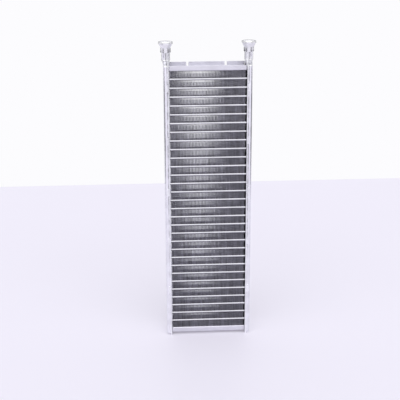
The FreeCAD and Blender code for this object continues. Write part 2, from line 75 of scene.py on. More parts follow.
def grid_quads(rows, columns, closed=False):
    """Corner numbers of every cell of a grid of points, row by row.

    Point (i, j) has number i * columns + j. A closed grid joins its last column to its first.
    """
    across = np.arange(columns if closed else columns - 1)
    row, column = np.meshgrid(np.arange(rows - 1), across, indexing="ij")
    beside = (column + 1) % columns
    corners = [row * columns + column, row * columns + beside]
    corners += [(row + 1) * columns + beside, (row + 1) * columns + column]
    return np.stack(corners, axis=-1).reshape(-1, 4)


def new_piece(name, points, faces, inside_out=False):
    """A piece at the origin whose mesh holds these points and faces, without unused points."""
    points = np.asarray(points, dtype=float).reshape(-1, 3)
    faces = [list(face)[::-1] if inside_out else list(face) for face in faces]
    used, numbers = np.unique(np.concatenate(faces), return_inverse=True)
    ends = np.cumsum([len(face) for face in faces])[:-1]
    mesh = bpy.data.meshes.new(name)
    mesh.from_pydata(points[used], [], [part.tolist() for part in np.split(numbers, ends)])
    mesh.validate()
    piece = bpy.data.objects.new(name, mesh)
    bpy.context.scene.collection.objects.link(piece)
    return piece


def shade_smooth(piece, sharp_degrees):
    """Shade a piece smooth, but for the edges that turn more than this angle."""
    piece.data.shade_smooth()
    piece.data.set_sharp_from_angle(angle=math.radians(sharp_degrees))


def press_sheet(piece, thickness, edge_width, segments=2, sharp_degrees=40):
    """Thicken a sheet away from its face side and round the edges that turn more than this angle.

    The mesh then holds the result, and no modifier is left.
    """
    wall = piece.modifiers.new("wall", "SOLIDIFY")
    wall.thickness = thickness
    wall.offset = -1
    wall.use_even_offset = True
    edges = piece.modifiers.new("edges", "BEVEL")
    edges.width = edge_width
    edges.segments = segments
    edges.limit_method = "ANGLE"
    edges.angle_limit = math.radians(sharp_degrees)
    edges.use_clamp_overlap = True
    level = piece.modifiers.new("flat faces", "WEIGHTED_NORMAL")
    level.keep_sharp = True
    piece.data.shade_smooth()
    bpy.context.view_layer.update()
    finished = piece.evaluated_get(bpy.context.evaluated_depsgraph_get())
    mesh = bpy.data.meshes.new_from_object(finished)
    piece.modifiers.clear()
    piece.data = mesh
    mesh.name = piece.name


def dress(piece, nodes, material):
    """The piece stands for its nodes, rides on the body and takes its finish."""
    piece.data.materials.append(material)
    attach(piece, "root")
    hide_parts(*nodes)


def rounded_profile(corners, segments=5):
    """A closed profile whose corners are arcs.

    Each corner is (across, up, radius). Its arc touches both edges at radius / tan(half the
    corner's angle) from the corner, and its centre lies on the corner's bisector.
    """
    spots = np.array([corner[:2] for corner in corners], dtype=float)
    radii = np.array([corner[2] for corner in corners], dtype=float)
    to_last = np.roll(spots, 1, axis=0) - spots
    to_next = np.roll(spots, -1, axis=0) - spots
    to_last /= np.linalg.norm(to_last, axis=1, keepdims=True)
    to_next /= np.linalg.norm(to_next, axis=1, keepdims=True)
    half = np.arccos(np.clip(np.sum(to_last * to_next, axis=1), -1, 1)) / 2
    bisector = to_last + to_next
    bisector /= np.linalg.norm(bisector, axis=1, keepdims=True)
    centre = spots + bisector * (radii / np.sin(half))[:, None]
    reach = (radii / np.tan(half))[:, None]
    start = spots + to_last * reach - centre
    end = spots + to_next * reach - centre
    first = np.arctan2(start[:, 1], start[:, 0])
    turn = np.arctan2(end[:, 1], end[:, 0]) - first
    turn = (turn + np.pi) % (2 * np.pi) - np.pi
    share = np.linspace(0, 1, segments + 1)
    angle = first[:, None] + turn[:, None] * share
    circle = np.stack([np.cos(angle), np.sin(angle)], axis=-1)
    return (centre[:, None, :] + radii[:, None, None] * circle).reshape(-1, 2)


# Materials


# Noise lies mostly within its usual range. A stain or gap is full below its edge and gone above.
USUAL_NOISE = (0.3, 0.7)
STAIN_EDGE = (0.35, 0.6)
GAP_EDGE = (0.4, 0.6)
GRAIN_DETAIL = 4
CLOUD_DETAIL = 3
CLOUD_SCALE = 90
GAP_SCALE = 150
GAP_STRETCH = (0.3, 0.3, 1)
SMOOTHER = 0.05
ROUGHER = 0.07
GRAIN_STRENGTH = 0.25
GRAIN_HEIGHT = 0.04 * MM
BAND_EDGE = 0.05 * MM

# Spans in metres that lie past the core on both sides, and below it
EVERYWHERE = (-1, 1)
FROM_THE_START = (-2, -1)


def feed(tree, socket, value):
    """Give a node's input a number, a colour or another node's output."""
    if isinstance(value, bpy.types.NodeSocket):
        tree.links.new(value, socket)
    else:
        socket.default_value = value


def calculated(tree, operation, *values):
    """A Math node's result, from numbers or other nodes' outputs."""
    node = tree.nodes.new("ShaderNodeMath")
    node.operation = operation
    for socket, value in zip(node.inputs, values):
        feed(tree, socket, value)
    return node.outputs["Value"]


def ranged(tree, value, start, end):
    """A value carried from one range to another, and held at its ends."""
    node = tree.nodes.new("ShaderNodeMapRange")
    names = ("Value", "From Min", "From Max", "To Min", "To Max")
    for name, part in zip(names, (value, *start, *end)):
        feed(tree, node.inputs[name], part)
    return node.outputs["Result"]


def blended(tree, first, second, share, how="MIX"):
    """Two colours blended by a share."""
    node = tree.nodes.new("ShaderNodeMix")
    node.data_type = "RGBA"
    node.blend_type = how
    for name, value in (("A", first), ("B", second), ("Factor", share)):
        feed(tree, node.inputs[name], value)
    return node.outputs["Result"]


def mixed(tree, first, second, share):
    """Two shaders mixed by a share."""
    node = tree.nodes.new("ShaderNodeMixShader")
    for socket, value in zip(node.inputs, (share, first, second)):
        feed(tree, socket, value)
    return node.outputs["Shader"]


def noise_at(tree, coordinates, scale, detail, stretch=(1, 1, 1)):
    """Noise on Object coordinates, stretched along the axes."""
    place = tree.nodes.new("ShaderNodeMapping")
    feed(tree, place.inputs["Vector"], coordinates)
    feed(tree, place.inputs["Scale"], stretch)
    noise = tree.nodes.new("ShaderNodeTexNoise")
    feed(tree, noise.inputs["Vector"], place.outputs["Vector"])
    feed(tree, noise.inputs["Scale"], scale)
    feed(tree, noise.inputs["Detail"], detail)
    return noise.outputs["Fac"]


def aluminium(name, finish, roughness, metallic, grain, stretch, stain, grain_and_shade=0.06):
    """Aluminium sheet: rolling grain, cloudy roughness and faint flux stains.

    The grain is noise stretched along one direction, and darkens the colour by the
    grain_and_shade share where it is low. With a small share it is rolling grain along the
    rolling direction; the fins' large share, in dark stripes across their strip, is painted
    shade for the light and dark of their folds. The stains are a coarser noise that darkens the
    colour by the stain share, and the same noise makes the metal a little smoother or rougher.
    """
    material = bpy.data.materials.new(name)
    material.use_nodes = True
    tree = material.node_tree
    shader = tree.nodes["Principled BSDF"]
    shader.inputs["Metallic"].default_value = metallic
    coordinates = tree.nodes.new("ShaderNodeTexCoord").outputs["Object"]
    fine = noise_at(tree, coordinates, grain, GRAIN_DETAIL, stretch)
    cloudy = noise_at(tree, coordinates, CLOUD_SCALE, CLOUD_DETAIL)
    stained = (*[part * (1 - stain) for part in finish], 1)
    tint = blended(tree, stained, (*finish, 1), ranged(tree, cloudy, STAIN_EDGE, (0, 1)))
    grain_and_shade_tone = ranged(tree, fine, USUAL_NOISE, (1 - grain_and_shade, 1))
    feed(tree, shader.inputs["Base Color"], blended(tree, tint, grain_and_shade_tone, 1, "MULTIPLY"))
    rough = ranged(tree, cloudy, USUAL_NOISE, (roughness - SMOOTHER, roughness + ROUGHER))
    feed(tree, shader.inputs["Roughness"], rough)
    bump = tree.nodes.new("ShaderNodeBump")
    bump.inputs["Strength"].default_value = GRAIN_STRENGTH
    bump.inputs["Distance"].default_value = GRAIN_HEIGHT
    feed(tree, bump.inputs["Height"], fine)
    feed(tree, shader.inputs["Normal"], bump.outputs["Normal"])
    return material


def inside(tree, value, low, high):
    """1 where a value lies from low to high, 0 outside, and a short slope at each end."""
    distance = calculated(tree, "ABSOLUTE", calculated(tree, "SUBTRACT", value, (low + high) / 2))
    half = (high - low) / 2
    return ranged(tree, distance, (half - BAND_EDGE, half + BAND_EDGE), (1, 0))


def darken(
    material, shade, across=EVERYWHERE, up=EVERYWHERE, grows=FROM_THE_START, lean=0.0, broken=0.0, axis="X"
):
    """Multiply the colour by a shade in a band, by distance from the middle plane and by height.

    The distance is |x| - lean * z, so that a band may lean outwards, or |y| in place of |x|. The
    band comes in slowly over the heights in grows, and a broken band fades by that share where
    a noise along the height is low.
    """
    tree = material.node_tree
    colour_input = tree.nodes["Principled BSDF"].inputs["Base Color"]
    coordinates = tree.nodes.new("ShaderNodeTexCoord").outputs["Object"]
    split = tree.nodes.new("ShaderNodeSeparateXYZ")
    feed(tree, split.inputs["Vector"], coordinates)
    height = split.outputs["Z"]
    off_middle = calculated(tree, "ABSOLUTE", split.outputs[axis])
    distance = calculated(tree, "MULTIPLY_ADD", height, -lean, off_middle)
    gaps = noise_at(tree, coordinates, GAP_SCALE, CLOUD_DETAIL, GAP_STRETCH)
    mask = inside(tree, distance, *across)
    for part in (
        inside(tree, height, *up),
        ranged(tree, height, grows, (0, 1)),
        ranged(tree, gaps, GAP_EDGE, (1 - broken, 1)),
    ):
        mask = calculated(tree, "MULTIPLY", mask, part)
    before = colour_input.links[0].from_socket
    feed(tree, colour_input, blended(tree, before, (shade, shade, shade, 1), mask, "MULTIPLY"))


# Settings


def length(name, description, default):
    """A length that a user may change."""
    return bpy.props.FloatProperty(
        name=name, description=description, default=default, min=0, unit="LENGTH", precision=5
    )


def colour(name, description, default):
    """A colour that a user may change."""
    return bpy.props.FloatVectorProperty(
        name=name, description=description, default=default, size=3, min=0, max=1, subtype="COLOR"
    )


def number(name, description, default):
    """A plain number that a user may change."""
    return bpy.props.FloatProperty(name=name, description=description, default=default)


def count(name, description, default):
    """A whole number that a user may change."""
    return bpy.props.IntProperty(name=name, description=description, default=default, min=1)


def rotation(name, description, degrees):
    """An angle that a user may change."""
    return bpy.props.FloatProperty(
        name=name, description=description, default=math.radians(degrees), unit="ROTATION"
    )


class FinSettings(bpy.types.PropertyGroup):
    """Sizes of the folded fins."""
    folds: count("Folds", "Full folds in a strip", 52)
    sheet: length("Sheet", "Thickness of the strip", 0.14 * MM)
    crest: length("Crest", "Radius of the fold crests, at the middle of the sheet", 0.37 * MM)
    louvres: count("Louvres", "Louvres in the front half and in the rear half of a leg", 2)
    lift: length("Lift", "How far a louvre's edge stands off the leg", 0.06 * MM)
    step: length("Step", "Depth in which a louvre's edge turns back to the leg", 0.06 * MM)
    margin: length("Margin", "Plain edge in front of the louvres and behind them", 1.6 * MM)
    middle: length("Middle", "Half of the plain strip between front and rear louvres", 0.8 * MM)
    wander: length("Wander", "How far a crest may stray from its even place", 0.06 * MM)
    skew: length("Skew", "How far a leg's rear edge stands to the right of its front edge", 1.48 * MM)
    lean: length("Lean", "How far a crest's own skew may differ", 0.1 * MM)
    reach: length("Reach", "How far the end folds reach towards the header plates", 0.45 * MM)
    finish: colour("Colour", "Colour of the fins", (0.82, 0.81, 0.92))


class TubeSettings(bpy.types.PropertyGroup):
    """Sizes of the flat tubes."""
    thickness: length("Thickness", "Flat face to flat face", 2.2 * MM)
    wall: length("Wall", "Wall of a tube", 0.35 * MM)
    nose: length("Nose", "Depth of the rounded nose", 0.9 * MM)
    finish: colour("Colour", "Colour of the tubes", (0.9, 0.9, 0.95))
    nose_shade: number("Nose shade", "Grey of the stained noses", 0.66)


class PlateSettings(bpy.types.PropertyGroup):
    """Sizes of the side plates."""
    wall: length("Wall", "Thickness of the sheet", 1.0 * MM)
    bend: length("Bend", "Outer radius of the bends", 1.3 * MM)
    edge: length("Edge", "Width of the rounded edges", 0.14 * MM)
    flange_end: length("Flange end", "End of a flange to the header plate", 0.4 * MM)
    web_end: length("Web end", "End of the web to the header plate", 0.05 * MM)
    tongue: length("Tongue", "Width of the tongue", 14 * MM)
    notch: length("Notch", "Width of an expansion notch", 2.6 * MM)
    notch_spread: length("Notch spread", "Between the two expansion notches", 43 * MM)
    finish: colour("Colour", "Colour of the side plates", (0.72, 0.71, 0.78))


class TankSettings(bpy.types.PropertyGroup):
    """Sizes of the two tanks."""
    width: length("Width", "Header face to the cover's back", 6.1 * MM)
    rim: length("Rim", "Header face to the edge of its lip", 1.9 * MM)
    web: length("Web", "Header face to the bottom of a relief notch", 1.1 * MM)
    bend: length("Bend", "Outer radius of the header plate's bends", 1.0 * MM)
    lip: length("Lip", "Thickness of the header plate", 0.7 * MM)
    cover_inset: length("Cover inset", "Cover's side behind the header plate's lip", 0.75 * MM)
    cover_edge: length("Cover edge", "Header face to the cover's edge", 1.15 * MM)
    cover_wall: length("Cover wall", "Thickness of the cover", 0.9 * MM)
    cover_corner: length("Cover corner", "Outer radius along the cover", 2.0 * MM)
    foot: length("Foot", "Radius round the cover's bottom end", 1.6 * MM)
    tab_height: length("Tab height", "Clinch tab along the tank", 8.4 * MM)
    tab_reach: length("Tab reach", "Clinch tab past the lip", 1.7 * MM)
    tab_notch: length("Tab notch", "Relief notch at each end of a tab", 1.0 * MM)
    first_tab: count("First tab", "Tube with the lowest tab", 5)
    tab_step: count("Tab step", "Tubes from tab to tab", 6)
    tab_count: count("Tabs", "Tabs along a lip", 5)
    shoulder: length("Shoulder", "Where the tank starts to narrow", 321.8 * MM)
    shoulder_height: length("Shoulder height", "Height of the narrowing", 6.2 * MM)
    neck_top: length("Neck top", "Top end of the neck", 338.2 * MM)
    neck_radius: length("Neck radius", "Outside of the neck", 4.9 * MM)
    edge: length("Edge", "Width of the rounded edges", 0.12 * MM)
    seam: length("Seam", "Half the width of the brazed seam up the neck", 0.35 * MM)
    # Painted shade: the header plate's face among the fins, and a skin past it, are darkened in place of
    # the deep shade there.
    face_skin: length("Face skin", "How far past its face the header plate is dark", 0.1 * MM)
    # The lines along the lip and the cover's edge are partly painted shade, in the seam's step and the
    # crevice under the lip, and partly flux.
    line_start: length("Line start", "Header face to the flux line on the lip", 1.55 * MM)
    line_end: length("Line end", "Header face to the far side of that line", 2.0 * MM)
    cover_line: length("Cover line", "Header face to the end of the cover's dark edge", 2.6 * MM)
    dark_lines_start: length("Stain start", "Height at which both lines begin to show", 40 * MM)
    dark_lines_full: length("Stain full", "Height at which both lines show in full", 190 * MM)
    dark_lines_gaps: number("Stain gaps", "Share by which both lines fade in their gaps", 0.6)
    face_painted_shade: number("Face shade", "Grey of the header plate's face", 0.12)
    step_shade_and_flux: number("Line shade", "Grey of the flux line on the lip", 0.45)
    cover_shade: number("Cover shade", "Grey of the cover's dark edge", 0.3)
    # Painted shade: the shoulders are greyed to dim their reflection of the white above.
    shoulder_painted_shade: number("Shoulder shade", "Grey of the dull shoulders", 0.8)
    seam_shade: number("Seam shade", "Grey of the seam up the shoulder", 0.35)
    neck_shade: number("Neck shade", "Grey of the seam up the neck", 0.25)
    finish: colour("Colour", "Colour of the tank shells", (0.92, 0.92, 0.96))


class SocketSettings(bpy.types.PropertyGroup):
    """Sizes of the pipe sockets."""
    seat: length("Seat", "Radius that fits over the neck", 4.95 * MM)
    bore: length("Bore", "Radius that takes the pipe", 5.2 * MM)
    wall: length("Wall", "Wall of collar, flare and lip", 0.6 * MM)
    lap: length("Lap", "Height that laps over the neck", 2.4 * MM)
    collar: length("Collar", "Height of the straight collar", 5.1 * MM)
    flare: length("Flare", "Height of the cone", 4.8 * MM)
    rim_cut: length("Rim cut", "Height of the cut edge round the mouth", 0.3 * MM)
    rim_shade: number("Rim shade", "Grey of the cut edge", 0.45)
    finish: colour("Colour", "Colour of the sockets", (0.93, 0.93, 0.95))


class StageSettings(bpy.types.PropertyGroup):
    """Floor, lights and camera."""
    floor: colour("Floor", "Colour of the table top", (0.89, 0.864, 0.965))
    glow: colour("Glow", "How bright the lit table is by itself", (0.93, 0.885, 1.0))
    glow_share: number("Glow share", "Share of the table's own glow", 0.25)
    mottle: number("Mottle", "Shade of the table's darker patches", 0.98)
    far_edge: length("Far edge", "Table's far edge behind the core", 589 * MM)
    slant: number("Slant", "Slope of the far edge across the table", 0.003)
    backdrop: colour("Backdrop", "Colour of the white behind the table", (0.975, 0.972, 0.992))
    fill: number("Fill", "Strength of the light from all round", 0.7)
    fill_tint: colour("Fill tint", "Colour of the light from all round", (0.96, 0.97, 1))
    key: number("Key", "Strength of the broad light from the front", 1.3)
    key_spread: rotation("Key spread", "How wide the broad light is", 90)
    key_lean: rotation("Key lean", "How far the broad light stands from overhead", 42)
    right_card: number("Right card", "Grey of the right cards", 0.02)
    left_card: number("Left card", "Grey of the left cards", 0.08)
    card_distance: length("Card distance", "Middle plane to the cards", 620 * MM)
    card_height: length("Card height", "Height of the cards", 185 * MM)
    lens: number("Lens", "Focal length in millimetres", 90.0)
    eye: bpy.props.FloatVectorProperty(
        name="Eye", description="Place of the camera", default=(-0.0720, -1.0963, 0.5284), unit="LENGTH"
    )
    tilt: bpy.props.FloatVectorProperty(
        name="Tilt",
        description="Turn of the camera",
        default=(math.radians(71.617), math.radians(0.221), math.radians(-3.38)),
        unit="ROTATION",
    )


# Fins

SEED = 7


def fold_path(settings, half_width, half_height, wander):
    """The middle line of a fin strip: points, unit normals and the louvre share at each point.

    Half a fold is an arc, a straight leg tangent to it and the same arc turned over. With half a
    fold w wide and the amplitude a, the arc of radius r turns by the angle t that solves
    w sin t - 2 (a - r) cos t = 2 r. Each arc is drawn by its crest and its end, and every second
    half fold is turned upside down.
    """
    width = half_width / settings.folds
    amplitude, radius = half_height - settings.sheet / 2, settings.crest
    rise = 2 * (amplitude - radius)
    turn = math.atan2(rise, width) + math.asin(2 * radius / math.hypot(width, rise))
    leg_x, leg_z = radius * math.sin(turn), amplitude - radius * (1 - math.cos(turn))
    half_x = np.array([0, leg_x, width - leg_x])
    half_z = np.array([amplitude, leg_z, -leg_z])
    angle = np.array([0, turn, turn])
    open_share = np.array([0.0, 1.0, 1.0])
    halves = 2 * settings.folds
    start = np.arange(halves) * width
    flip = np.where(np.arange(halves) % 2 == 0, 1.0, -1.0)
    x = (start[:, None] + half_x).ravel()
    z = (flip[:, None] * half_z).ravel()
    normal_x = (flip[:, None] * np.sin(angle)).ravel()
    normal_z = np.tile(np.cos(angle), halves)
    x = np.append(x, halves * width)
    z = np.append(z, amplitude)
    normals = np.stack([np.append(normal_x, 0), np.append(normal_z, 1)], axis=1)
    strayed = x + np.interp(x, np.arange(halves + 1) * width, wander)
    line = np.stack([strayed - half_width, z], axis=1)
    return line, normals, np.append(np.tile(open_share, halves), 0)


def louvre_stations(settings, half_depth):
    """Depths of a leg's stations, front to rear, and how far each is lifted, from -1 to 1.

    Across a louvre the lift climbs from -1 to 1, and within a step of each edge it comes back to
    the leg. The louvres of the rear half lean the other way.
    """
    edges = np.linspace(settings.margin, half_depth - settings.middle, settings.louvres + 1)
    depth = np.stack([edges[:-1] + settings.step, edges[1:] - settings.step], axis=1).ravel()
    lift = np.tile([-1.0, 1.0], settings.louvres)
    depth = np.concatenate([[0, edges[0]], depth, [edges[-1]]])
    lift = np.concatenate([[0, 0], lift, [0]])
    whole = np.concatenate([depth, 2 * half_depth - depth[::-1]]) - half_depth
    return whole, np.concatenate([lift, lift[::-1]])


def fin_mesh(name, settings, wander, lean):
    """A closed strip: its two faces stand half a sheet off the middle line, and louvres shift both.

    From front to rear each point moves right by the skew and by its crest's own lean. Quads
    between the two faces close the front and the rear edge.
    """
    low, high = map(np.array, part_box(name))
    centre, half = (low + high) / 2, (high - low) / 2
    line, normals, open_share = fold_path(settings, half[0] + settings.reach, half[2], wander)
    depth, lift = louvre_stations(settings, half[1])
    shift = settings.lift * lift[:, None] * open_share
    own_lean = np.interp(line[:, 0], np.linspace(line[0, 0], line[-1, 0], len(lean)), lean)
    rings = []
    for side in (0.5, -0.5):
        offset = (shift + side * settings.sheet)[:, :, None] * normals
        plane = line + offset
        y = np.broadcast_to(depth[:, None], plane.shape[:2])
        x = plane[:, :, 0] + (settings.skew + own_lean) * y / (2 * half[1])
        rings.append(np.stack([x, y, plane[:, :, 1]], axis=-1))
    points = np.concatenate([rings[0], rings[1][:, ::-1]], axis=1) + centre
    rows, columns = points.shape[:2]
    skin = grid_quads(rows, columns, closed=True)
    first = np.arange(columns // 2 - 1)
    front = np.stack([first, columns - 1 - first, columns - 2 - first, first + 1], axis=1)
    rear = front[:, ::-1] + (rows - 1) * columns
    faces = np.concatenate([skin, front, rear])
    return new_piece(f"{name}_strip", points, faces.tolist())


class FinsOperator(bpy.types.Operator):
    """Build a louvred, folded strip for every fin"""
    bl_idname = "heater_core.fins"
    bl_label = "Fins"

    def execute(self, context):
        settings = context.scene.heater_core_fins
        # Painted shade: the fins' strong dark stripes across the strip stand for the light and dark of
        # their folds.
        material = aluminium(
            "fin aluminium", settings.finish, roughness=0.36, metallic=1.0,
            grain=700, stretch=(1, 0.05, 0.05), stain=0.2, grain_and_shade=0.55,
        )
        chance = np.random.default_rng(SEED)
        for name in FIN_NODES:
            wander = chance.uniform(-1, 1, 2 * settings.folds + 1) * settings.wander
            wander[[0, -1]] = 0
            lean = chance.uniform(-1, 1, 2 * settings.folds + 1) * settings.lean
            strip = fin_mesh(name, settings, wander, lean)
            shade_smooth(strip, sharp_degrees=35)
            dress(strip, [name], material)
        return {"FINISHED"}


# Tubes


def tube_section(half_depth, half_thick, nose, steps=8):
    """A flat tube's outline: two flats joined by half ellipses, one at each nose.

    A nose point lies nose * cos t past the flats' end and half_thick * sin t up.
    """
    angle = np.linspace(-np.pi / 2, np.pi / 2, steps + 1)
    y = half_depth - nose + nose * np.cos(angle)
    z = half_thick * np.sin(angle)
    return np.concatenate([np.stack([-y[::-1], z[::-1]], axis=1), np.stack([y, z], axis=1)])


def tube_mesh(half_length, centre_z, settings, half_depth):
    """One tube as a closed ring: outer skin, inner skin and the two open ends.

    The inner nose is half as deep as the outer one and stands a third of it further in.
    """
    half_thick = settings.thickness / 2
    outer = tube_section(half_depth, half_thick, settings.nose)
    inner = tube_section(
        half_depth - settings.wall - settings.nose / 3, half_thick - settings.wall, settings.nose / 2
    )
    stations = [(-half_length, outer), (half_length, outer), (half_length, inner), (-half_length, inner)]
    points = np.concatenate([
        np.column_stack([np.full(len(section), x), section[:, 0], section[:, 1] + centre_z])
        for x, section in stations
    ])
    return points, grid_quads(len(stations) + 1, len(outer), closed=True) % len(points)


def pair_heights(name, settings):
    """Heights of the middles of a pair's two tubes."""
    low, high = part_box(name)
    return low[2] + settings.thickness / 2, high[2] - settings.thickness / 2


class TubesOperator(bpy.types.Operator):
    """Build two flat tubes with rounded noses for every tube pair"""
    bl_idname = "heater_core.tubes"
    bl_label = "Tubes"

    def execute(self, context):
        settings = context.scene.heater_core_tubes
        material = aluminium(
            "tube aluminium", settings.finish, roughness=0.1, metallic=1.0,
            grain=1500, stretch=(0.06, 1, 1), stain=0.1,
        )
        # The tube noses, front and rear, are darkened to the nose_shade grey.
        nose_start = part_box(TUBE_NODES[0])[1][1] - settings.nose
        darken(material, settings.nose_shade, across=(nose_start, 1), axis="Y")
        for name in TUBE_NODES:
            half_length, half_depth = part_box(name)[1][:2]
            points, faces = [], []
            for height in pair_heights(name, settings):
                spots, quads = tube_mesh(half_length, height, settings, half_depth)
                faces.append(quads + len(points) * len(spots))
                points.append(spots)
            pair = new_piece(f"{name}_skin", np.concatenate(points), np.concatenate(faces).tolist())
            shade_smooth(pair, sharp_degrees=40)
            dress(pair, [name], material)
        return {"FINISHED"}


# Side plates


def arc_points(centre, radius, start, end, segments=5):
    """Points of an arc, from one angle to another in degrees."""
    angle = np.radians(np.linspace(start, end, segments + 1))
    return np.stack([centre[0] + radius * np.cos(angle), centre[1] + radius * np.sin(angle)], axis=1)


def plate_mesh(name, settings, half_core, opens_up):
    """A side plate: its outside section carried along the core, with cells left out.

    Cells are left out past the ends of flanges and web, beside the tongues and in the two
    expansion notches of the rear flange.
    """
    low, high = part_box(name)
    flange, depth, bend = high[2] - low[2], high[1], settings.bend
    near_bend = arc_points((-depth + bend, bend), bend, 180, 270)
    far_bend = arc_points((depth - bend, bend), bend, 270, 360)
    tongue = settings.tongue / 2
    web = np.array([[-tongue, 0], [tongue, 0]])
    section = np.concatenate([[[-depth, flange]], near_bend, web, far_bend, [[depth, flange]]])
    flange_end = half_core - settings.flange_end
    web_end = half_core - settings.web_end
    notch_in = (settings.notch_spread - settings.notch) / 2
    notch_out = (settings.notch_spread + settings.notch) / 2
    half = np.array([notch_in, notch_out, flange_end, web_end, high[0]])
    stations = np.concatenate([-half[::-1], half])
    along = np.abs(stations[1:] + stations[:-1])[:, None] / 2
    column = np.arange(len(section) - 1)[None, :]
    tongue_column = len(near_bend) + 1
    in_web = np.abs(column - tongue_column) <= 1
    in_notch = (column == len(section) - 2) & (along > notch_in) & (along < notch_out)
    keep = (along < flange_end) & ~in_notch
    keep |= (along < web_end) & in_web
    keep |= column == tongue_column
    base = low[2] if opens_up else high[2]
    sign = 1 if opens_up else -1
    x = np.broadcast_to(stations[:, None], (len(stations), len(section)))
    y = np.broadcast_to(section[:, 0], x.shape)
    z = base + sign * np.broadcast_to(section[:, 1], x.shape)
    points = np.stack([x, y, z], axis=-1)
    quads = grid_quads(len(stations), len(section))[keep.ravel()]
    plate = new_piece(f"{name}_channel", points, quads.tolist(), inside_out=not opens_up)
    press_sheet(plate, settings.wall, settings.edge)
    return plate


def half_core_width(tanks):
    """From the middle plane to the header plates' faces."""
    return MOUNTS["right_tank_back"][0] - tanks.width


class PlatesOperator(bpy.types.Operator):
    """Build the two side plates"""
    bl_idname = "heater_core.plates"
    bl_label = "Side plates"

    def execute(self, context):
        settings = context.scene.heater_core_plates
        half_core = half_core_width(context.scene.heater_core_tanks)
        material = aluminium(
            "side plate aluminium", settings.finish, roughness=0.42, metallic=0.8,
            grain=1600, stretch=(0.05, 1, 1), stain=0.08,
        )
        for name, opens_up in (("top_side_plate", True), ("bottom_side_plate", False)):
            plate = plate_mesh(name, settings, half_core, opens_up)
            dress(plate, [name], material)
        return {"FINISHED"}


# Tanks

# Where lips and bends stand on the neck's circle, in degrees: 0 is outwards and 90 the seam
HEADER_LIP = 126
HEADER_BEND = (130, 140)
COVER_SIDE = 70
COVER_CORNER = (50, 40)

CORNER_STEPS = 6
FOOT_STEPS = 6
BACK_SHARES = np.array([0.75, 0.5, 0.25])


def smooth_step(share):
    """0 below 0, 1 above 1, and 3 s^2 - 2 s^3 between."""
    share = np.clip(share, 0, 1)
    return share * share * (3 - 2 * share)


def shoulder_heights(settings, shoulder_steps=12, neck_steps=3):
    """Stations up the shoulder and the neck, without the first."""
    rising = settings.shoulder + np.linspace(0, 1, shoulder_steps + 1)[1:] * settings.shoulder_height
    return np.concatenate([rising, np.linspace(rising[-1], settings.neck_top, neck_steps + 1)[1:]])


def narrow(section, target, heights, settings):
    """Carry a tank section up the shoulder into the neck.

    Each point moves from its place in the tank section to its place on the neck by the smooth
    step of the height above the shoulder's start.
    """
    share = smooth_step((heights - settings.shoulder) / settings.shoulder_height)[:, None, None]
    flat = section * (1 - share) + target * share
    up = np.broadcast_to(heights[:, None], flat.shape[:2])
    return np.concatenate([flat, up[:, :, None]], axis=-1)


def neck_points(settings, degrees, centre):
    """Points of the neck's circle at these angles, across and in depth."""
    angle = np.radians(degrees)
    circle = np.stack([np.cos(angle), np.sin(angle)], axis=1)
    return settings.neck_radius * circle + [centre, 0]


def on_side(points, half_core, side):
    """Turn a tank's own across axis, which points away from the core, into the frame's X."""
    placed = points.copy()
    placed[..., 0] = side * (half_core + points[..., 0])
    return placed


def header_section(settings, depth, slot, tongue):
    """A header plate's outside, from tab to tab, and each point's angle on the neck's circle.

    The columns of cells between the points run from a tab over the lip, round the bend and
    across the face to its middle, and back in the same way.
    """
    bend = settings.bend
    bend_arc = arc_points((bend, depth - bend), bend, 90, 180)
    face = np.array([slot, (slot + tongue) / 2, tongue, tongue / 2])
    rear = np.concatenate([
        [[settings.rim + settings.tab_reach, depth], [settings.rim, depth], [settings.web, depth]],
        bend_arc,
        np.column_stack([np.zeros(len(face)), face]),
    ])
    rear_angles = np.concatenate([
        [90, 90, HEADER_LIP],
        np.linspace(*HEADER_BEND, len(bend_arc)),
        180 - (180 - HEADER_BEND[1]) * face / (depth - bend),
    ])
    section = np.concatenate([rear, [[0, 0]], rear[::-1] * [1, -1]])
    return section, np.concatenate([rear_angles, [180], 360 - rear_angles[::-1]])


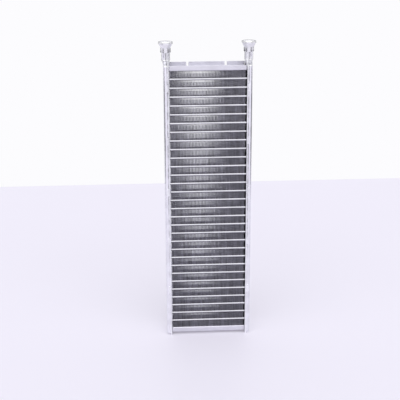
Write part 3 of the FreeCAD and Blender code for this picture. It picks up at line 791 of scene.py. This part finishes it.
def header_mesh(name, side, settings, tubes, plates, half_core, neck_across):
    """A header plate: a tray section carried up the tank, with cells left out.

    Cells are left out in the tube slots, the tongue slots and the relief notches, and beside
    the clinch tabs, which stand past the lip. Counted from either end of a row, cell 0 is a
    tab's and cell 1 a relief notch's.
    """
    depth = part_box(name)[1][1]
    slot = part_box(TUBE_NODES[0])[1][1]
    tongue = plates.tongue / 2
    section, angles = header_section(settings, depth, slot, tongue)
    target = neck_points(settings, angles, neck_across)
    middles = np.array([pair_heights(pair, tubes) for pair in TUBE_NODES]).ravel()
    half_slot = tubes.thickness / 2
    tabs = middles[settings.first_tab - 1 :: settings.tab_step][: settings.tab_count]
    half_tab = settings.tab_height / 2
    half_notched = half_tab + settings.tab_notch
    webs = []
    for plate, opens_up in (("bottom_side_plate", False), ("top_side_plate", True)):
        low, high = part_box(plate)
        edge = low[2] if opens_up else high[2] - plates.wall
        webs.append((edge, edge + plates.wall))
    straight = np.concatenate([
        middles - half_slot, middles + half_slot, tabs - half_tab, tabs + half_tab,
        tabs - half_notched, tabs + half_notched, np.ravel(webs), [0, settings.shoulder],
    ])
    heights = np.concatenate([np.unique(straight.round(6)), shoulder_heights(settings)])
    points = narrow(section, target, heights, settings)
    row_height = ((heights[1:] + heights[:-1]) / 2)[:, None]
    column = np.arange(len(section) - 1)[None, :]
    from_end = np.minimum(column, len(section) - 2 - column)
    off_middle = np.abs(section[1:, 1] + section[:-1, 1])[None, :] / 2
    near_tube = np.any(np.abs(row_height - middles) < half_slot, axis=1, keepdims=True)
    in_web = np.zeros_like(near_tube)
    for low, high in webs:
        in_web |= (row_height > low) & (row_height < high)
    to_tab = np.min(np.abs(row_height - tabs), axis=1, keepdims=True)
    beside_tab = (from_end == 0) & (to_tab > half_tab)
    in_notch = (from_end == 1) & (to_tab > half_tab) & (to_tab < half_notched)
    in_slot = (near_tube & (off_middle < slot)) | (in_web & (off_middle < tongue))
    keep = ~(beside_tab | in_notch | in_slot)
    quads = grid_quads(len(heights), len(section))[keep.ravel()]
    placed = on_side(points, half_core, side)
    plate = new_piece(f"{name}_shell", placed, quads.tolist(), inside_out=side < 0)
    press_sheet(plate, settings.lip, settings.edge)
    return plate


def cover_section(settings, depth, inset):
    """The cover's outside, drawn in by an inset all round but at its open edge."""
    side = depth - inset
    back = settings.width - inset
    radius = settings.cover_corner - inset
    edge = settings.cover_edge
    rear = np.concatenate([
        [[edge, side], [(edge + back - radius) / 2, side]],
        arc_points((back - radius, side - radius), radius, 90, 0, CORNER_STEPS),
        np.column_stack([np.full(len(BACK_SHARES), back), (side - radius) * BACK_SHARES]),
    ])
    return np.concatenate([rear, [[back, 0]], rear[::-1] * [1, -1]])


def cover_mesh(name, side, settings, half_core, neck_across):
    """A tank cover: its section carried up from a rounded foot into half the neck.

    Round the foot the section is drawn in by r (1 - sin t) at the height r (1 - cos t).
    """
    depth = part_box(name.replace("tank_cover", "header_plate"))[1][1] - settings.cover_inset
    turn = np.linspace(0, np.pi / 2, FOOT_STEPS + 1)
    insets = settings.foot * (1 - np.sin(turn))
    foot_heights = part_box(name)[0][2] + settings.foot * (1 - np.cos(turn))
    section = cover_section(settings, depth, 0)
    rows = [
        np.column_stack([cover_section(settings, depth, inset), np.full(len(section), height)])
        for inset, height in zip(insets, foot_heights)
    ]
    corner_angles = np.linspace(*COVER_CORNER, CORNER_STEPS + 1)
    rear_angles = np.concatenate([[90, COVER_SIDE], corner_angles, COVER_CORNER[1] * BACK_SHARES])
    angles = np.concatenate([rear_angles, [0], -rear_angles[::-1]])
    target = neck_points(settings, angles, neck_across)
    heights = np.concatenate([[settings.shoulder], shoulder_heights(settings)])
    points = np.concatenate([np.array(rows), narrow(section, target, heights, settings)])
    quads = grid_quads(*points.shape[:2]).tolist()
    sole = list(range(points.shape[1]))
    placed = on_side(points, half_core, side)
    cover = new_piece(f"{name}_shell", placed, quads + [sole[::-1]], inside_out=side > 0)
    press_sheet(cover, settings.cover_wall, settings.edge)
    return cover


def stain_and_shade_tanks(header_metal, cover_metal, settings, half_core, neck_across):
    """Darken the header plates' faces, the lines along the lip, the shoulders and the seam: painted
    shade on the faces among the fins, painted shade in the seam's step and under the lip with some
    flux along the lip, painted shade that dims the shoulders' reflection, and a dark braze joint.

    Up the shoulder the seam leans outwards, from the lip's edge to the middle of the neck.
    """
    straight = (0, settings.shoulder)
    grows = (settings.dark_lines_start, settings.dark_lines_full)
    # Painted shade on the header plate's face, deep among the fins
    darken(header_metal, settings.face_painted_shade, (0, half_core + settings.face_skin), straight)
    # Painted shade in the seam's step and under the lip, with some flux, coming in with height and broken
    # in gaps
    lip_line = (half_core + settings.line_start, half_core + settings.line_end)
    darken(header_metal, settings.step_shade_and_flux, lip_line, straight, grows, broken=settings.dark_lines_gaps)
    cover_line = (0, half_core + settings.cover_line)
    darken(cover_metal, settings.cover_shade, cover_line, straight, grows, broken=settings.dark_lines_gaps)
    top = settings.shoulder + settings.shoulder_height
    lean = (neck_across - settings.rim) / settings.shoulder_height
    foot = half_core + settings.rim - lean * settings.shoulder
    neck = half_core + neck_across
    for metal in (header_metal, cover_metal):
        # Painted shade over the shoulders, dimming their reflection of the white above
        darken(metal, settings.shoulder_painted_shade, up=(settings.shoulder, top))
        sides = (foot - settings.seam, foot + settings.seam)
        darken(metal, settings.seam_shade, sides, (settings.shoulder, top), lean=lean)
        sides = (neck - settings.seam, neck + settings.seam)
        darken(metal, settings.neck_shade, sides, up=(top, 1))


class TanksOperator(bpy.types.Operator):
    """Build the header plates and the tank covers"""
    bl_idname = "heater_core.tanks"
    bl_label = "Tanks"

    def execute(self, context):
        settings = context.scene.heater_core_tanks
        tubes = context.scene.heater_core_tubes
        plates = context.scene.heater_core_plates
        half_core = half_core_width(settings)
        neck_across = MOUNTS["right_pipe_mouth"][0] - half_core
        header_metal = aluminium(
            "header plate aluminium", settings.finish, roughness=0.3, metallic=0.85,
            grain=1500, stretch=(1, 1, 0.05), stain=0.14,
        )
        cover_metal = aluminium(
            "tank cover aluminium", settings.finish, roughness=0.16, metallic=1.0,
            grain=1500, stretch=(1, 1, 0.05), stain=0.12,
        )
        stain_and_shade_tanks(header_metal, cover_metal, settings, half_core, neck_across)
        for word, side in (("right", 1), ("left", -1)):
            name = f"{word}_header_plate"
            plate = header_mesh(name, side, settings, tubes, plates, half_core, neck_across)
            dress(plate, [name], header_metal)
            name = f"{word}_tank_cover"
            cover = cover_mesh(name, side, settings, half_core, neck_across)
            dress(cover, [name], cover_metal)
        return {"FINISHED"}


# Pipe sockets


def socket_mesh(name, settings, turns=96):
    """A pipe socket: its closed profile carried round the neck's axis.

    The profile's corners are given from the seat outwards, up and over the lip and down the bore.
    """
    low, high = map(np.array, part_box(name))
    centre = (low + high) / 2
    total = high[2] - low[2]
    rim = (high[0] - low[0]) / 2
    collar = settings.bore + settings.wall
    flare_top = settings.collar + settings.flare
    half = settings.wall / 2
    profile = rounded_profile([
        (settings.seat, 0, 0.1 * MM),
        (collar, 0, 0.2 * MM),
        (collar, settings.collar, 1.4 * MM),
        (rim, flare_top, 0.9 * MM),
        (rim, total, 0.28 * MM),
        (rim - settings.wall, total, 0.25 * MM),
        (rim - settings.wall, flare_top + half, 0.6 * MM),
        (settings.bore, settings.collar + half, 1.2 * MM),
        (settings.bore, settings.lap, 0.05 * MM),
        (settings.seat, settings.lap, 0.05 * MM),
    ])
    angle = np.linspace(0, 2 * np.pi, turns, endpoint=False)
    x = centre[0] + np.outer(profile[:, 0], np.cos(angle))
    y = centre[1] + np.outer(profile[:, 0], np.sin(angle))
    z = low[2] + np.repeat(profile[:, 1:], turns, axis=1)
    points = np.stack([x, y, z], axis=-1)
    quads = grid_quads(len(profile) + 1, turns, closed=True) % (len(profile) * turns)
    socket = new_piece(f"{name}_turned", points, quads.tolist())
    shade_smooth(socket, sharp_degrees=60)
    return socket


class SocketsOperator(bpy.types.Operator):
    """Build the two flared pipe sockets"""
    bl_idname = "heater_core.sockets"
    bl_label = "Pipe sockets"

    def execute(self, context):
        settings = context.scene.heater_core_sockets
        material = aluminium(
            "socket aluminium", settings.finish, roughness=0.22, metallic=0.9,
            grain=2500, stretch=(0.1, 0.1, 1), stain=0.15,
        )
        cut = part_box("right_pipe_socket")[1][2] - settings.rim_cut
        darken(material, settings.rim_shade, up=(cut, 1))
        for name in ("right_pipe_socket", "left_pipe_socket"):
            socket = socket_mesh(name, settings)
            dress(socket, [name], material)
        return {"FINISHED"}


# Stage

MOTTLE_SCALE = 6
CARD_SPANS = {"front": (-0.75, -0.1), "rear": (0.1, 1.05)}
CARD_TINT = (1, 1, 1.05)
NEAREST_SEEN = 10 * MM


def make_floor(far_edge, slant, half_width=2.5, near_edge=-2.5):
    """A level table top whose far edge, y = far_edge + slant * x, runs behind the core."""
    x = np.array([-half_width, half_width])
    y = np.stack([np.full(2, near_edge), far_edge + slant * x])
    points = np.stack(np.broadcast_arrays(x[None, :], y, 0.0), axis=-1)
    return new_piece("table_top", points, grid_quads(2, 2).tolist())


def seen_or_mirrored(tree):
    """1 for a ray from the camera, a mirrored ray or one through glass, and 0 for the rest."""
    path = tree.nodes.new("ShaderNodeLightPath")
    either = calculated(tree, "MAXIMUM", path.outputs["Is Camera Ray"], path.outputs["Is Glossy Ray"])
    return calculated(tree, "MAXIMUM", either, path.outputs["Is Transmission Ray"])


def floor_material(settings):
    """Pale board with a faint mottle, a share of it as bright as a lit table.

    That share is only seen or mirrored. It keeps the shadows soft and lights nothing.
    """
    material = bpy.data.materials.new("pale board")
    material.use_nodes = True
    tree = material.node_tree
    shader = tree.nodes["Principled BSDF"]
    shader.inputs["Roughness"].default_value = 0.5
    coordinates = tree.nodes.new("ShaderNodeTexCoord").outputs["Object"]
    noise = noise_at(tree, coordinates, MOTTLE_SCALE, CLOUD_DETAIL)
    darker = (*[part * settings.mottle for part in settings.floor], 1)
    feed(tree, shader.inputs["Base Color"], blended(tree, darker, (*settings.floor, 1), noise))
    glow = tree.nodes.new("ShaderNodeEmission")
    glow.inputs["Color"].default_value = (*settings.glow, 1)
    share = calculated(tree, "MULTIPLY", seen_or_mirrored(tree), settings.glow_share)
    surface = mixed(tree, shader.outputs["BSDF"], glow.outputs["Emission"], share)
    feed(tree, tree.nodes["Material Output"].inputs["Surface"], surface)
    return material


def light_world(settings):
    """White where it is seen or mirrored, and a plain fill light elsewhere."""
    world = bpy.data.worlds.new("studio")
    bpy.context.scene.world = world
    world.use_nodes = True
    tree = world.node_tree
    tree.nodes.clear()
    fill = tree.nodes.new("ShaderNodeBackground")
    fill.inputs["Color"].default_value = (*settings.fill_tint, 1)
    fill.inputs["Strength"].default_value = settings.fill
    white = tree.nodes.new("ShaderNodeBackground")
    white.inputs["Color"].default_value = (*settings.backdrop, 1)
    seen = seen_or_mirrored(tree)
    light = mixed(tree, fill.outputs["Background"], white.outputs["Background"], seen)
    out = tree.nodes.new("ShaderNodeOutputWorld")
    feed(tree, out.inputs["Surface"], light)


def add_sky_light(strength, spread, lean, turn):
    """A broad soft light from high in front, the same all over the table.

    It leans by an angle from straight overhead, on the side that the turn gives.
    """
    lamp = bpy.data.lights.new("soft_light", "SUN")
    lamp.energy = strength
    lamp.angle = spread
    holder = bpy.data.objects.new("soft_light", lamp)
    holder.rotation_euler = (lean, 0, turn)
    bpy.context.scene.collection.objects.link(holder)


def add_card(name, across, span, height, shade):
    """An upright grey card beside the core, which only its gloss shows."""
    z = np.array([0, height])
    points = np.stack(np.broadcast_arrays(across, np.array(span)[None, :], z[:, None]), axis=-1)
    card = new_piece(name, points, grid_quads(2, 2).tolist())
    material = bpy.data.materials.new(name)
    material.use_nodes = True
    shader = material.node_tree.nodes["Principled BSDF"]
    shader.inputs["Base Color"].default_value = (*[shade * part for part in CARD_TINT], 1)
    shader.inputs["Roughness"].default_value = 1
    card.data.materials.append(material)
    card.visible_camera = False
    card.visible_diffuse = False
    card.visible_shadow = False
    card.visible_transmission = False


class StageOperator(bpy.types.Operator):
    """Set the floor, the lights and the camera"""
    bl_idname = "heater_core.stage"
    bl_label = "Stage"

    def execute(self, context):
        settings = context.scene.heater_core_stage
        table = make_floor(settings.far_edge, settings.slant)
        table.data.materials.append(floor_material(settings))
        light_world(settings)
        add_sky_light(settings.key, settings.key_spread, settings.key_lean, settings.tilt[2])
        across, height = settings.card_distance, settings.card_height
        for word, span in CARD_SPANS.items():
            add_card(f"right_{word}_card", across, span, height, settings.right_card)
            add_card(f"left_{word}_card", -across, span, height, settings.left_card)
        camera_data = bpy.data.cameras.new("camera")
        camera_data.lens = settings.lens
        camera_data.clip_start = NEAREST_SEEN
        camera = bpy.data.objects.new("camera", camera_data)
        camera.location = settings.eye
        camera.rotation_euler = settings.tilt
        context.scene.collection.objects.link(camera)
        context.scene.camera = camera
        context.scene.view_settings.view_transform = "Standard"
        return {"FINISHED"}


class HeaterCorePanel(bpy.types.Panel):
    """Lists the steps that build the heater core"""
    bl_idname = "VIEW3D_PT_heater_core"
    bl_label = "Heater core"
    bl_space_type = "VIEW_3D"
    bl_region_type = "UI"
    bl_category = "Heater core"

    def draw(self, context):
        for step in STEPS:
            self.layout.operator(step.bl_idname)


STEPS = (FinsOperator, TubesOperator, PlatesOperator, TanksOperator, SocketsOperator, StageOperator)
SETTINGS = {
    "heater_core_fins": FinSettings,
    "heater_core_tubes": TubeSettings,
    "heater_core_plates": PlateSettings,
    "heater_core_tanks": TankSettings,
    "heater_core_sockets": SocketSettings,
    "heater_core_stage": StageSettings,
}


def register():
    """Register the classes and attach the settings to the scene."""
    for group in (*SETTINGS.values(), *STEPS, HeaterCorePanel):
        bpy.utils.register_class(group)
    for name, group in SETTINGS.items():
        setattr(bpy.types.Scene, name, bpy.props.PointerProperty(type=group))


def unregister():
    """Take the settings and the classes away again."""
    for name in SETTINGS:
        delattr(bpy.types.Scene, name)
    for group in (HeaterCorePanel, *STEPS[::-1], *SETTINGS.values()):
        bpy.utils.unregister_class(group)


def main():
    """Build every piece and the stage."""
    register()
    bpy.ops.heater_core.fins()
    bpy.ops.heater_core.tubes()
    bpy.ops.heater_core.plates()
    bpy.ops.heater_core.tanks()
    bpy.ops.heater_core.sockets()
    bpy.ops.heater_core.stage()


if __name__ == "__main__":
    main()
